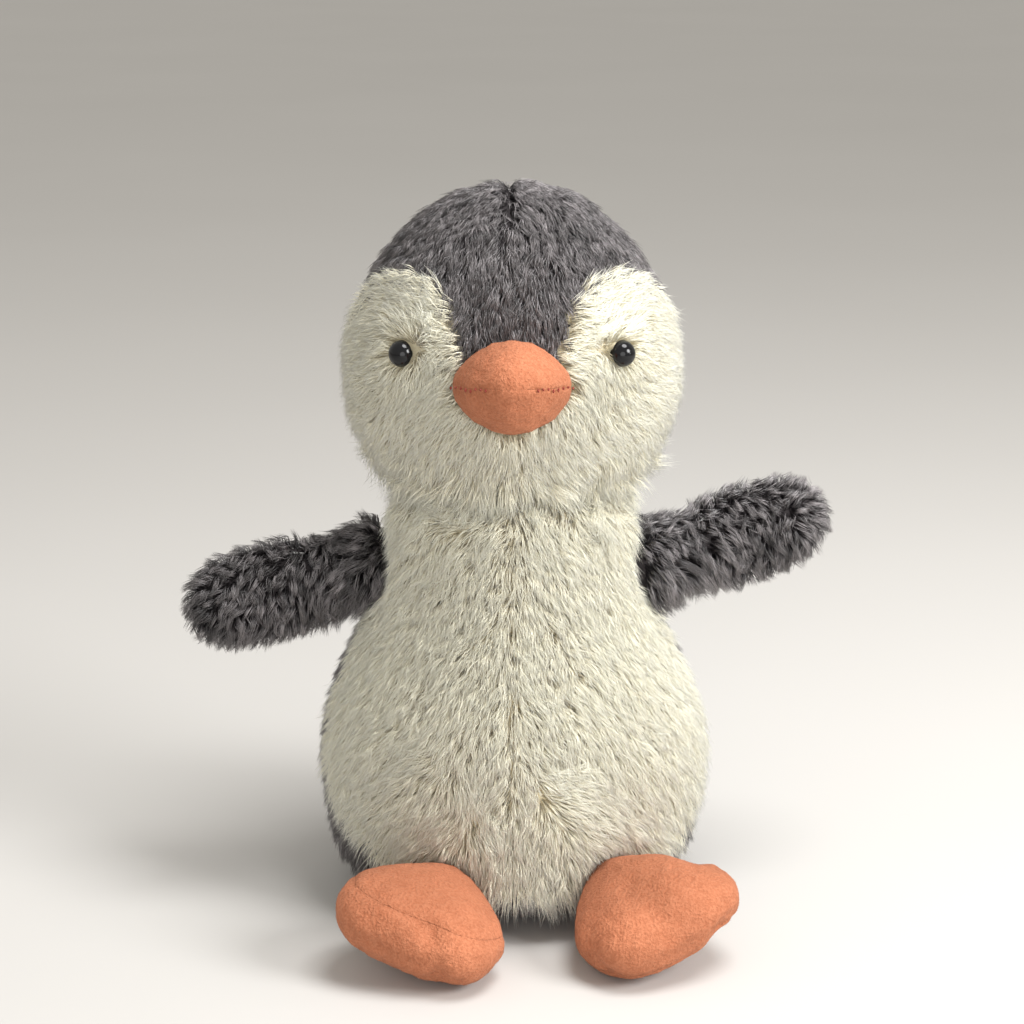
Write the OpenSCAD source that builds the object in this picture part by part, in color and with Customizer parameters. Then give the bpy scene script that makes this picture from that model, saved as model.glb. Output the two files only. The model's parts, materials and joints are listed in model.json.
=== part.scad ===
// Seated plush penguin: fur fabric panels over stuffing, suede beak and feet, safety eyes.
// The origin is on the ground under the middle of the base. The face looks along -Y.

/* [Body] */
// Width of the belly at its widest
belly_w = 121; // [98:1:148]
// Depth of the belly, front to back
belly_d = 106; // [88:1:130]
// Height of the widest part of the belly
belly_h = 48; // [40:1:58]
// Width of the flat base
base_w = 80; // [66:1:96]
// Depth of the flat base
base_d = 72; // [60:1:86]
// Height of the point that the head nods about
neck_h = 115; // [102:1:138]
// Radius of the rounded shoulders under the head
neck_r = 39.5; // [35:0.5:44]
// Turn of the lower body towards its left hand, in degrees
body_turn = 6; // [0:1:12]

/* [Tummy] */
// Height of the lowest point of the cream panel
tummy_low = 16; // [12:1:24]
// Height above which the side seams run straight
tummy_full = 56; // [48:1:66]
// Angle from the front to each side seam, in degrees
seam_spread = 82; // [70:1:95]
// Height of the top edge of the body panels, inside the head
collar_h = 141; // [136:1:146]

/* [Head] */
// Width of the head
head_w = 103; // [86:1:122]
// Depth of the head, front to back
head_d = 92; // [78:1:110]
// Height of the widest part of the head above the nod point
head_rise = 53; // [48:1:62]
// Height of the crown above the widest part
crown_h = 60; // [50:1:72]
// Depth of the chin and nape below the widest part
chin_h = 46; // [42:1:52]

/* [Eyes] */
// Diameter of each eye
eye_d = 8; // [6:0.5:10]
// How far each eye stands out from the fabric
eye_h = 3.6; // [2.5:0.1:4.5]
// Distance of each eye from the middle of the face
eye_x = 32.5; // [27:0.5:37]
// Height of the eyes above the widest part of the head
eye_rise = 12.5; // [8:0.5:18]
// Diameter of the eye's shank
shank_d = 3; // [2:0.5:3.5]
// Length of the eye's shank
shank_l = 9; // [8:0.5:12]
// Diameter of the washer that locks the shank
washer_d = 12; // [10:0.5:14]
// Thickness of the washer
washer_t = 1.4; // [1:0.1:2]

/* [Beak] */
// Width of the beak where it meets the face
beak_w = 36; // [30:1:42]
// Height of the beak where it meets the face
beak_h = 29; // [24:1:34]
// Length of the beak in front of the face
beak_l = 20; // [16:1:26]
// Height of the beak's seam above the widest part of the head
beak_rise = 4.5; // [0:0.5:8]
// Upward tilt of the beak, in degrees
beak_lift = 11; // [0:1:15]

/* [Wings] */
// Length of a wing from its pivot to its tip
wing_l = 62; // [52:1:74]
// Width of a wing
wing_w = 31; // [28:1:34]
// Thickness of a wing
wing_t = 20; // [16:1:23]
// Diameter of the round end that sits in the body's side
wing_root_d = 28; // [24:1:30]
// How far the wings sit below the nod point
wing_drop = 8; // [4:1:14]
// Distance of the wings' pivots outside the body's surface
wing_out = 2; // [1:0.5:4]
// Lift of the left wing above level, in degrees
left_lift = -13; // [-16:1:20]
// Lift of the right wing above level, in degrees
right_lift = 12; // [-16:1:20]
// Swing of the left wing towards the front, in degrees
left_swing = 10; // [-20:1:20]
// Swing of the right wing towards the front, in degrees
right_swing = -16; // [-20:1:20]

/* [Feet] */
// Length of a foot in front of its pivot
foot_l = 43; // [36:1:50]
// Width of a foot
foot_w = 54; // [44:1:58]
// Thickness of a foot
foot_t = 27; // [24:1:29]
// Distance from the pivot to the widest part of a foot
foot_mid = 20; // [17:1:24]
// Length of the heel behind the pivot
heel_l = 11.5; // [10:0.5:13]
// Angle from the front of the body to each ankle, in degrees
foot_spread = 26; // [24:1:32]
// Angle that the toes point outwards, in degrees
foot_splay = 22; // [15:1:30]
// Lift of the outer edge of each foot, in degrees
foot_roll = 17; // [0:1:20]
// Distance of the ankles in front of the body's surface
ankle_out = 3.5; // [1:0.5:5]

/* [Bean pouch] */
// Diameter of the pouch of beans above the base
pouch_d = 54; // [44:1:60]
// Height of the pouch
pouch_h = 20; // [16:1:26]

/* [Fabric and fits] */
// Thickness of the fur fabric with its pile pressed flat
fur_t = 3; // [2:0.5:4]
// Thickness of the suede
suede_t = 1.5; // [1:0.1:2]
// Thickness of the pouch's cotton
cotton_t = 0.8; // [0.5:0.1:1]
// Thickness of the sewing thread
thread_d = 0.6; // [0.4:0.1:0.8]
// Room between a fabric and the stuffing behind it
ease = 0.6; // [0.5:0.1:1]
// Room between pieces that move against each other
play = 0.5; // [0.4:0.1:0.8]

/* [Hidden] */

// Fineness of round pieces
$fn = 48;
// Height of the side panels' lower edge, just clear of the ground
hem_h = 0.5;
// Height of the widest part of the head
head_z = neck_h + head_rise;
wing_z = neck_h - wing_drop;
wing_root_r = wing_root_d / 2;
LEFT = -1;
RIGHT = 1;

// Number of steps across half of the tummy, half of the back and one turn of the stuffing
TUMMY_STEPS = 8;
BACK_STEPS = 12;
TURN_STEPS = 36;
// Number of rows below the tummy's lowest point, along its curved edge, and along its straight edge
LOW_ROWS = 3;
CURVED_ROWS = 7;
STRAIGHT_ROWS = 9;
// Number of rows on a cheek and a cap, between the face seam and the panel's other edge
FACE_ROWS = 6;
CAP_ROWS = 7;
// Number of steps round half of a wing, half of the beak and the whole of a foot
WING_STEPS = 8;
BEAK_STEPS = 8;
BEAK_ROWS = 5;
FOOT_STEPS = 28;
FOOT_ROWS = 5;

// ---- Shared arithmetic ----

function lerp(a, b, f) = a + (b - a) * f;

function unit(v) = v / norm(v);

// Runs from 0 to 1 with a level start and finish
function eased(f) = (1 - cos(180 * min(max(f, 0), 1))) / 2;

// Sine and cosine drawn out towards a box for n over 2, or in towards a diamond for n under 2
function boxed(v, n) = sign(v) * pow(abs(v), 2 / n);

// ---- Closed solids from grids of points ----
// A grid's columns run to the right and its rows run up, as seen from outside.
// A row of one point is a tip.

function row_starts(rows) =
    [for (i = 0, n = 0; i < len(rows); n = n + len(rows[i]), i = i + 1) n];

function widest(rows) = max([for (row = rows) len(row)]);

function index(rows, starts, i, j) = starts[i] + (len(rows[i]) == 1 ? 0 : j % len(rows[i]));

// The triangles of a four-cornered face that have three different corners
function whole(triangles) =
    [for (t = triangles) if (t[0] != t[1] && t[1] != t[2] && t[2] != t[0]) t];

// Two triangles for a four-cornered face, split along its shorter diagonal
function split(points, a, b, c, d) =
    norm(points[a] - points[c]) <= norm(points[b] - points[d])
        ? whole([[a, c, b], [a, d, c]])
        : whole([[a, d, b], [b, d, c]]);

function grid_faces(rows, starts, points, last) = [
    for (i = [0 : len(rows) - 2], j = [0 : last])
        each split(
            points,
            index(rows, starts, i, j), index(rows, starts, i, j + 1),
            index(rows, starts, i + 1, j + 1), index(rows, starts, i + 1, j)
        )
];

// Faces along one row, between the outer and the inner grid
function row_wall(rows, starts, i, last, total) =
    len(rows[i]) == 1 ? [] : [
        for (j = [0 : last])
            let (a = index(rows, starts, i, j), b = index(rows, starts, i, j + 1))
                each whole([[a + total, b, b + total], [a + total, a, b]])
    ];

// Faces along one column, between the outer and the inner grid
function column_wall(rows, starts, j, total) = [
    for (i = [0 : len(rows) - 2])
        let (a = index(rows, starts, i, j), b = index(rows, starts, i + 1, j))
            each [[a, a + total, b + total], [a, b + total, b]]
];

function reversed(faces) = [for (f = faces) [f[0], f[2], f[1]]];

function joined(rows) = [for (row = rows) each row];

// A sheet of fabric between two matching grids; loop closes its columns into a ring
module panel(outer, inner, loop = false) {
    starts = row_starts(outer);
    points = joined(outer);
    total = len(points);
    columns = widest(outer);
    last = loop ? columns - 1 : columns - 2;
    skin = grid_faces(outer, starts, points, last);
    lining = [for (f = reversed(skin)) [for (v = f) v + total]];
    foot = row_wall(outer, starts, 0, last, total);
    head = reversed(row_wall(outer, starts, len(outer) - 1, last, total));
    near = loop ? [] : column_wall(outer, starts, 0, total);
    far = loop ? [] : reversed(column_wall(outer, starts, columns - 1, total));
    polyhedron(points = concat(points, joined(inner)), faces = concat(skin, lining, foot, head, near, far));
}

// A lump of stuffing closed by a tip at each end
module lump(rows) {
    points = joined(rows);
    polyhedron(points = points, faces = grid_faces(rows, row_starts(rows), points, widest(rows) - 1));
}

// A round rod from one point to another
module rod(from, to, d) {
    along = to - from;
    translate(from)
        rotate([0, acos(along.z / norm(along)), atan2(along.y, along.x)])
            cylinder(d = d, h = norm(along));
}

// ---- Body surface ----
// Angles run from 0 at the front to 90 on the penguin's left hand, which is +X.

function turn_at(z) = body_turn * (1 - eased((z - tummy_full) / (neck_h - tummy_full)));

// Half of the body's width or depth at a height, from the belly's and the base's full sizes
function body_half(z, belly, base, inset) =
    z < belly_h
        ? lerp(base, belly, pow(1 - pow(1 - z / belly_h, 2.6), 0.45)) / 2 - inset
        : z < neck_h
            ? lerp(belly / 2, neck_r, eased((z - belly_h) / (neck_h - belly_h))) - inset
            : sqrt(max(pow(neck_r - inset, 2) - pow(z - neck_h, 2), 0));

function body_at(angle, z, inset = 0) =
    let (a = angle + turn_at(z))
        [
            body_half(z, belly_w, base_w, inset) * sin(a),
            -body_half(z, belly_d, base_d, inset) * cos(a),
            z
        ];

// Angle of the side seams at a height
function seam_at(z) =
    let (f = min(max((tummy_full - z) / (tummy_full - tummy_low), 0), 1))
        seam_spread * sqrt(1 - f * f);

low_levels = [for (i = [0 : LOW_ROWS - 1]) lerp(hem_h, tummy_low, i / LOW_ROWS)];
high_levels = concat(
    [tummy_low],
    [
        for (i = [1 : CURVED_ROWS - 1])
            tummy_full - (tummy_full - tummy_low) * cos(90 * i / CURVED_ROWS)
    ],
    [for (i = [0 : STRAIGHT_ROWS]) lerp(tummy_full, collar_h, sin(90 * i / STRAIGHT_ROWS))]
);

function tummy_rows(side, inset) = [
    for (z = high_levels)
        let (from = side == LEFT ? -seam_at(z) : 0, to = side == LEFT ? 0 : seam_at(z))
            z == tummy_low
                ? [body_at(0, z, inset)]
                : [for (j = [0 : TUMMY_STEPS]) body_at(lerp(from, to, j / TUMMY_STEPS), z, inset)]
];

function back_rows(side, inset) = [
    for (z = concat(low_levels, high_levels))
        let (from = side == LEFT ? 180 : seam_at(z), to = side == LEFT ? 360 - seam_at(z) : 180)
            [for (j = [0 : BACK_STEPS]) body_at(lerp(from, to, j / BACK_STEPS), z, inset)]
];

function body_ring(z, inset) = [
    for (j = [0 : TURN_STEPS - 1]) body_at(360 * j / TURN_STEPS, z, inset)
];

// ---- Wings and feet: where they sit and how they lie ----

wing_x = body_half(wing_z, belly_w, base_w, -wing_out);

module place_wing(side) {
    lift = side == LEFT ? left_lift : right_lift;
    swing = side == LEFT ? left_swing : right_swing;
    translate([side * wing_x, 0, wing_z])
        rotate([0, 0, -side * swing])
            rotate([0, -side * lift, 0])
                mirror([side == LEFT ? 1 : 0, 0, 0])
                    children();
}

// Each row: place along the wing, half width and half thickness, as shares of their full sizes
wing_shape = [
    [0.22, 0.35, 0.47], [0.32, 0.42, 0.49], [0.43, 0.49, 0.50], [0.58, 0.50, 0.49],
    [0.72, 0.49, 0.47], [0.84, 0.43, 0.42], [0.93, 0.32, 0.32], [0.98, 0.18, 0.19]
];
// Angles of the rows on the round end, from its far side
ROOT_ANGLES = [35, 65, 90, 122];

function wing_ring(x, half_w, half_t, from, to, steps) = [
    for (j = [0 : steps])
        let (b = lerp(from, to, j / steps)) [x, -half_t * sin(b), half_w * cos(b)]
];

function wing_rows(from, to, steps, inset) = concat(
    [[[inset - wing_root_r, 0, 0]]],
    [
        for (a = ROOT_ANGLES)
            let (r = wing_root_r - inset) wing_ring(-r * cos(a), r * sin(a), r * sin(a), from, to, steps)
    ],
    [
        for (s = wing_shape)
            wing_ring(
                s[0] * wing_l - inset * s[0],
                max(s[1] * wing_w - inset, 1),
                max(s[2] * wing_t - inset, 1),
                from, to, steps
            )
    ],
    [[[wing_l - inset, 0, 0]]]
);

// How far the heel is drawn in, from 2 for round to 1 for straight-sided
HEEL_POINT = 1.3;

// Point on a foot, with rise 1 on top and -1 underneath, and reach 1 at the seam and 0 in the middle
function foot_at(angle, reach, rise, inset) =
    let (
        n = cos(angle) > 0 ? 3 : HEEL_POINT,
        length = cos(angle) > 0 ? foot_l - foot_mid : foot_mid + heel_l,
        top = foot_t * 0.52 - inset,
        bottom = foot_t * 0.48 - inset
    )
        [
            (foot_w / 2 - inset) * boxed(sin(angle), n) * reach,
            -foot_mid - (length - inset) * boxed(cos(angle), n) * reach,
            rise > 0 ? top * sqrt(1 - pow(reach, 2)) : -bottom * sqrt(1 - pow(reach, 4))
        ];

function foot_ring(reach, rise, inset) =
    reach == 0
        ? [foot_at(0, 0, rise, inset)]
        : [for (j = [0 : FOOT_STEPS - 1]) foot_at(360 * j / FOOT_STEPS, reach, rise, inset)];

// Shares of the half width at which a foot's rows stand, from the seam to the middle
foot_reaches = [for (i = [0 : FOOT_ROWS]) i == FOOT_ROWS ? 0 : cos(90 * i / FOOT_ROWS)];

function foot_upper_rows(inset) = [for (r = foot_reaches) foot_ring(r, 1, inset)];

function foot_sole_rows(inset) =
    [for (i = [FOOT_ROWS : -1 : 0]) foot_ring(foot_reaches[i], -1, inset)];

// Height of the ankles at which the rolled soles just touch the ground
ankle_h = max([
    for (row = foot_sole_rows(0), p = row) -p.z * cos(foot_roll) + p.x * sin(foot_roll)
]);

function ankle_at(side) = body_at(side * foot_spread, ankle_h, -ankle_out);

function foot_heading(side) = side * foot_splay + body_turn;

module place_foot(side) {
    translate(ankle_at(side))
        rotate([0, 0, foot_heading(side)])
            rotate([0, -side * foot_roll, 0])
                children();
}

// Radius of the hollow that a heel turns in
heel_hollow_r = norm([heel_l, foot_t * 0.1]) + play;

// The hollows in the body's sides and front for the round ends of the wings and feet
module limb_hollows() {
    for (side = [LEFT, RIGHT]) {
        translate([side * wing_x, 0, wing_z])
            sphere(r = wing_root_r + play);
        translate(ankle_at(side))
            sphere(r = heel_hollow_r);
    }
}

// ---- Body pieces ----

module body_panel(outer, inner) {
    difference() {
        panel(outer, inner);
        limb_hollows();
    }
}

module tummy_left() {
    color("ivory") body_panel(tummy_rows(LEFT, 0), tummy_rows(LEFT, fur_t));
}

module tummy_right() {
    color("ivory") body_panel(tummy_rows(RIGHT, 0), tummy_rows(RIGHT, fur_t));
}

module back_left() {
    color("dimgray") body_panel(back_rows(LEFT, 0), back_rows(LEFT, fur_t));
}

module back_right() {
    color("dimgray") body_panel(back_rows(RIGHT, 0), back_rows(RIGHT, fur_t));
}

module base_panel() {
    color("dimgray")
        linear_extrude(fur_t)
            polygon([for (p = body_ring(hem_h, fur_t + play)) [p.x, p.y]]);
}

STUFFING_ROWS = 18;

module body_stuffing() {
    inset = fur_t + ease;
    top = neck_h + neck_r - inset;
    levels = [for (i = [0 : STUFFING_ROWS - 1]) lerp(inset, top, sin(90 * i / STUFFING_ROWS))];
    color("white")
        difference() {
            lump(concat(
                [[[0, 0, inset]]],
                [for (z = levels) body_ring(z, z == inset ? inset + play : inset)],
                [[[0, 0, top]]]
            ));
            limb_hollows();
            pouch_lens(ease);
        }
}

// The pouch's outer shape, grown outwards by a margin, standing on the base
module pouch_lens(margin) {
    half = pouch_h / 2;
    reach = pouch_d / 2 + margin;
    height = half + margin;
    translate([0, 0, fur_t + play + half])
        rotate_extrude()
            polygon([
                [0, -height], [reach * 0.8, -height], [reach, -height * 0.35],
                [reach, height * 0.35], [reach * 0.75, height * 0.85], [0, height]
            ]);
}

module bean_pouch() {
    color("linen")
        difference() {
            pouch_lens(0);
            pouch_lens(-cotton_t);
        }
}

module beans() {
    color("beige") pouch_lens(-cotton_t - play / 2);
}

// Ladder stitches that close the back seam after stuffing
STITCHES = 8;
STITCH_GAP = 4;
STITCH_ANGLE = 3;

module closing_thread() {
    first = neck_h - wing_drop - STITCHES * STITCH_GAP;
    color("black")
        for (i = [0 : STITCHES - 1])
            rod(
                body_at(180 - STITCH_ANGLE, first + i * STITCH_GAP, -thread_d),
                body_at(180 + STITCH_ANGLE, first + i * STITCH_GAP, -thread_d),
                thread_d
            );
}

// ---- Head surface ----

// Direction at an angle round from the front and an angle up from level
function facing(round, up) = [cos(up) * sin(round), -cos(up) * cos(round), sin(up)];

function head_at(direction, inset = 0) = [
    (head_w / 2 - inset) * direction.x,
    (head_d / 2 - inset) * direction.y,
    head_z + ((direction.z > 0 ? crown_h : chin_h) - inset) * direction.z
];

// Distance of the face's front from the middle of the head, at a place across and a height
function face_depth(x, z) =
    let (rise = z - head_z, half_h = rise > 0 ? crown_h : chin_h)
        head_d / 2 * sqrt(1 - pow(2 * x / head_w, 2) - pow(rise / half_h, 2));

// The seam between a cream cheek and the dark cap: from the beak, up and over the eye,
// and down behind the cheek. Each point is an angle round from the front and an angle up.
face_seam = [
    [0, 6], [13, 7], [17.5, 15], [22, 26], [31, 33], [46, 36], [62, 33], [76, 27],
    [88, 16], [97, 2], [102, -16], [104, -40]
];
// The angle up at which every head panel ends, hidden inside the neck
PANEL_END = -56;
// The angles over the crown, from the brow, at which a cap's first and last columns end
BROW_END = 14;
NAPE_END = 180 - PANEL_END;

// Steps between one point of the face seam and the next
SEAM_STEPS = 2;

// The directions of a line of angles, with steps added between them
function traced(line) = [
    for (j = [0 : len(line) - 2], k = [0 : SEAM_STEPS - 1])
        let (a = facing(line[j][0], line[j][1]), b = facing(line[j + 1][0], line[j + 1][1]))
            unit(lerp(a, b, k / SEAM_STEPS)),
    facing(line[len(line) - 1][0], line[len(line) - 1][1])
];

function blend_rows(low, high, rows, inset) = [
    for (i = [0 : rows])
        [for (j = [0 : len(low) - 1]) head_at(unit(lerp(low[j], high[j], i / rows)), inset)]
];

function cheek_rows(inset) =
    let (
        seam = traced(face_seam),
        last = len(seam) - 1,
        side = face_seam[len(face_seam) - 1][0],
        neck = [for (j = [0 : last]) facing(side * j / last, PANEL_END)]
    )
        blend_rows(neck, seam, FACE_ROWS, inset);

function cap_rows(inset) =
    let (
        side = face_seam[len(face_seam) - 1][0],
        seam = traced(concat(face_seam, [[side, PANEL_END]])),
        last = len(seam) - 1,
        middle = [for (j = [0 : last]) facing(0, lerp(BROW_END, NAPE_END, j / last))]
    )
        blend_rows(seam, middle, CAP_ROWS, inset);

// The hollow under the head, in which the rounded shoulders sit
module neck_hollow() {
    translate([0, 0, neck_h])
        sphere(r = neck_r + play);
}

// ---- Eyes ----

eye_way = [
    2 * eye_x / head_w,
    -sqrt(1 - pow(2 * eye_x / head_w, 2) - pow(eye_rise / crown_h, 2)),
    eye_rise / crown_h
];
eye_normal = unit([eye_way.x / head_w, eye_way.y / head_d, eye_way.z / (2 * crown_h)]);

// Puts what it is given on the right cheek, with +Z straight out of the face
module at_eye() {
    translate(head_at(eye_way))
        rotate([0, acos(eye_normal.z), atan2(eye_normal.y, eye_normal.x)])
            children();
}

module eye() {
    lift = play / 2;
    dome_r = (pow(eye_d / 2, 2) + pow(eye_h, 2)) / (2 * eye_h);
    color("black")
        at_eye() {
            intersection() {
                translate([0, 0, lift + eye_h - dome_r])
                    sphere(r = dome_r);
                translate([0, 0, lift])
                    cylinder(d = eye_d, h = eye_h + 1);
            }
            translate([0, 0, lift - shank_l])
                cylinder(d = shank_d, h = shank_l + lift);
        }
}

// Distance from the fabric's outer face to the washer's outer face
washer_depth = fur_t + 2 * ease;

module eye_washer() {
    color("whitesmoke")
        at_eye()
            translate([0, 0, -washer_depth - washer_t])
                difference() {
                    cylinder(d = washer_d, h = washer_t);
                    translate([0, 0, -1])
                        cylinder(d = shank_d + 0.1, h = washer_t + 2);
                }
}

// The room that an eye's washer and shank take up in the stuffing
module eye_pocket() {
    at_eye()
        translate([0, 0, -shank_l - 1])
            cylinder(d = washer_d + 2 * ease, h = shank_l + 2);
}

module eye_left() {
    mirror([1, 0, 0]) eye();
}

module eye_right() {
    eye();
}

module eye_washer_left() {
    mirror([1, 0, 0]) eye_washer();
}

module eye_washer_right() {
    eye_washer();
}

// ---- Head pieces ----

module cheek() {
    color("ivory")
        difference() {
            panel(cheek_rows(0), cheek_rows(fur_t));
            neck_hollow();
            at_eye()
                cylinder(d = shank_d + play, h = 4 * fur_t, center = true);
        }
}

module cap() {
    color("dimgray")
        difference() {
            panel(cap_rows(0), cap_rows(fur_t));
            neck_hollow();
        }
}

module cheek_left() {
    mirror([1, 0, 0]) cheek();
}

module cheek_right() {
    cheek();
}

module cap_left() {
    mirror([1, 0, 0]) cap();
}

module cap_right() {
    cap();
}

HEAD_ROWS = 12;

module head_stuffing() {
    inset = fur_t + ease;
    color("white")
        difference() {
            lump(concat(
                [[head_at([0, 0, -1], inset)]],
                [
                    for (i = [1 : HEAD_ROWS - 1])
                        let (up = lerp(-90, 90, i / HEAD_ROWS))
                            [for (j = [0 : TURN_STEPS - 1]) head_at(facing(360 * j / TURN_STEPS, up), inset)]
                ],
                [[head_at([0, 0, 1], inset)]]
            ));
            neck_hollow();
            eye_pocket();
            mirror([1, 0, 0]) eye_pocket();
        }
}

// ---- Beak ----

beak_z = head_z + beak_rise;
// Shares of the beak's length at which its rows stand, after the one on the face
beak_steps = [for (i = [0 : BEAK_ROWS - 1]) sin(90 * i / BEAK_ROWS)];

// Point on the beak, at an angle round from the right and a share of its length
function beak_at(angle, along, inset) =
    let (
        x = (beak_w / 2 - inset) * boxed(cos(angle), 1.7),
        z = beak_z + (beak_h / 2 - inset) * boxed(sin(angle), 1.7),
        taper = pow(1 - along * along, 0.72),
        root = lerp(face_depth(x, z), face_depth(0, beak_z), along)
    )
        [
            x * taper,
            -root - play - (beak_l - inset) * along,
            lerp(beak_z, z, taper) + (beak_l - inset) * along * tan(beak_lift)
        ];

function beak_rows(from, to, steps, inset) = concat(
    [
        for (s = beak_steps)
            [for (j = [0 : steps]) beak_at(lerp(from, to, j / steps), s, inset)]
    ],
    [[beak_at(0, 1, inset)]]
);

module beak_upper() {
    color("coral") panel(beak_rows(0, 180, BEAK_STEPS, 0), beak_rows(0, 180, BEAK_STEPS, suede_t));
}

module beak_lower() {
    color("coral") panel(beak_rows(180, 360, BEAK_STEPS, 0), beak_rows(180, 360, BEAK_STEPS, suede_t));
}

module beak_stuffing() {
    steps = 2 * BEAK_STEPS;
    inset = suede_t + ease / 2;
    // Rows across the face, from the middle out to the beak's edge
    across = [
        for (f = [1 / 3, 2 / 3])
            [
                for (j = [0 : steps - 1])
                    let (p = beak_at(360 * j / steps, 0, inset), x = p.x * f, z = lerp(beak_z, p.z, f))
                        [x, -face_depth(x, z) - play, z]
            ]
    ];
    round = [
        for (s = beak_steps)
            [for (j = [0 : steps - 1]) beak_at(360 * j / steps, s, inset)]
    ];
    color("white")
        lump(concat(
            [[[0, -face_depth(0, beak_z) - play, beak_z]]],
            across, round,
            [[beak_at(0, 1, inset)]]
        ));
}

// Running stitches along the beak's seam, at its two corners
BEAK_STITCHES = 5;
BEAK_STITCH_STEP = 0.07;

module beak_thread() {
    color("firebrick")
        for (angle = [0, 180], i = [0 : BEAK_STITCHES - 1])
            rod(
                beak_at(angle, (i + 0.5) * BEAK_STITCH_STEP, -thread_d),
                beak_at(angle, (i + 1.1) * BEAK_STITCH_STEP, -thread_d),
                thread_d
            );
}

// ---- Wing pieces ----

module wing_panel(side, from, to) {
    color("dimgray")
        place_wing(side)
            panel(wing_rows(from, to, WING_STEPS, 0), wing_rows(from, to, WING_STEPS, fur_t));
}

module wing_stuffing(side) {
    steps = 2 * WING_STEPS;
    rows = wing_rows(0, 360, steps, fur_t + ease);
    color("white")
        place_wing(side)
            lump([for (row = rows) len(row) == 1 ? row : [for (j = [0 : steps - 1]) row[j]]]);
}

module wing_left_front() {
    wing_panel(LEFT, 0, 180);
}

module wing_left_back() {
    wing_panel(LEFT, 180, 360);
}

module wing_left_stuffing() {
    wing_stuffing(LEFT);
}

module wing_right_front() {
    wing_panel(RIGHT, 0, 180);
}

module wing_right_back() {
    wing_panel(RIGHT, 180, 360);
}

module wing_right_stuffing() {
    wing_stuffing(RIGHT);
}

// ---- Foot pieces ----

module foot_upper(side) {
    color("coral")
        place_foot(side)
            panel(foot_upper_rows(0), foot_upper_rows(suede_t), loop = true);
}

module foot_sole(side) {
    color("coral")
        place_foot(side)
            panel(foot_sole_rows(0), foot_sole_rows(suede_t), loop = true);
}

module foot_stuffing(side) {
    inset = suede_t + ease / 2;
    upper = foot_upper_rows(inset);
    color("white")
        place_foot(side)
            lump(concat(foot_sole_rows(inset), [for (i = [1 : len(upper) - 1]) upper[i]]));
}

module foot_left_upper() {
    foot_upper(LEFT);
}

module foot_left_sole() {
    foot_sole(LEFT);
}

module foot_left_stuffing() {
    foot_stuffing(LEFT);
}

module foot_right_upper() {
    foot_upper(RIGHT);
}

module foot_right_sole() {
    foot_sole(RIGHT);
}

module foot_right_stuffing() {
    foot_stuffing(RIGHT);
}

tummy_left();
tummy_right();
back_left();
back_right();
base_panel();
body_stuffing();
bean_pouch();
beans();
closing_thread();
cheek_left();
cheek_right();
cap_left();
cap_right();
head_stuffing();
eye_left();
eye_right();
eye_washer_left();
eye_washer_right();
beak_upper();
beak_lower();
beak_stuffing();
beak_thread();
wing_left_front();
wing_left_back();
wing_left_stuffing();
wing_right_front();
wing_right_back();
wing_right_stuffing();
foot_left_upper();
foot_left_sole();
foot_left_stuffing();
foot_right_upper();
foot_right_sole();
foot_right_stuffing();
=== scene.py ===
"""A seated plush penguin: stuffed covers with strands of fur, built around its CAD frame."""

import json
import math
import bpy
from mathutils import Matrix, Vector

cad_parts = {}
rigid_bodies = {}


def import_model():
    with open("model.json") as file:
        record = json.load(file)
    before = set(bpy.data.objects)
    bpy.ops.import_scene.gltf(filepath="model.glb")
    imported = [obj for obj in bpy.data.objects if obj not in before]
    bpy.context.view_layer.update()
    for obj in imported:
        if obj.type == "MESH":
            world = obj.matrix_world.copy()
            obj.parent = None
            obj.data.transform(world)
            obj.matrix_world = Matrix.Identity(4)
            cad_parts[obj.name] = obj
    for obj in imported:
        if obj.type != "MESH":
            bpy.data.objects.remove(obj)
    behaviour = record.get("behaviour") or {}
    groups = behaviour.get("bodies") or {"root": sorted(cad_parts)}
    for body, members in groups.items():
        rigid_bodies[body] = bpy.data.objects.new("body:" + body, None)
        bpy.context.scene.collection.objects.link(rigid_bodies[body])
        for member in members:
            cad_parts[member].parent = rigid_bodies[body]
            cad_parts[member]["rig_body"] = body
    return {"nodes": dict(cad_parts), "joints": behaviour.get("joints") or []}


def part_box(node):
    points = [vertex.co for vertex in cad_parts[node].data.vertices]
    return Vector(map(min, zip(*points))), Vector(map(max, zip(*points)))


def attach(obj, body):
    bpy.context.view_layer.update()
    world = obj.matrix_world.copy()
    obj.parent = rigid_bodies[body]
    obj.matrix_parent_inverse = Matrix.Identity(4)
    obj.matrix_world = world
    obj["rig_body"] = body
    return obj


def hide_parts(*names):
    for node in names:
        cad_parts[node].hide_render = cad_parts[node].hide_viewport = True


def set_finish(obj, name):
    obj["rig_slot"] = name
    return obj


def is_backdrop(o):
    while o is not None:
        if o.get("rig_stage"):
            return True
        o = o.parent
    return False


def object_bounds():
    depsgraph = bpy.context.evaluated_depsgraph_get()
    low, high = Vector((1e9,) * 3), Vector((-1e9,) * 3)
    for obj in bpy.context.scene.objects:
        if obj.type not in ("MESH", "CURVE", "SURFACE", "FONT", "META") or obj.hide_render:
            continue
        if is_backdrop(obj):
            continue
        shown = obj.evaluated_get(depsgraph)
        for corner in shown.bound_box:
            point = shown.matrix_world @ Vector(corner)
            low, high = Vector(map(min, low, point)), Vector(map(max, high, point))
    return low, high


bl_info = {
    "name": "Plush Penguin",
    "version": (1, 0, 0),
    "blender": (4, 5, 0),
    "location": "View3D > Sidebar > Penguin",
    "description": "Stuffs the covers of a plush penguin and grows its fur",
    "category": "Object",
}

from typing import NamedTuple

import bmesh
import bpy
import numpy as np
from bpy.props import FloatProperty, FloatVectorProperty, PointerProperty
from mathutils import Matrix, Vector
from mathutils.bvhtree import BVHTree
from mathutils.kdtree import KDTree

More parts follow.
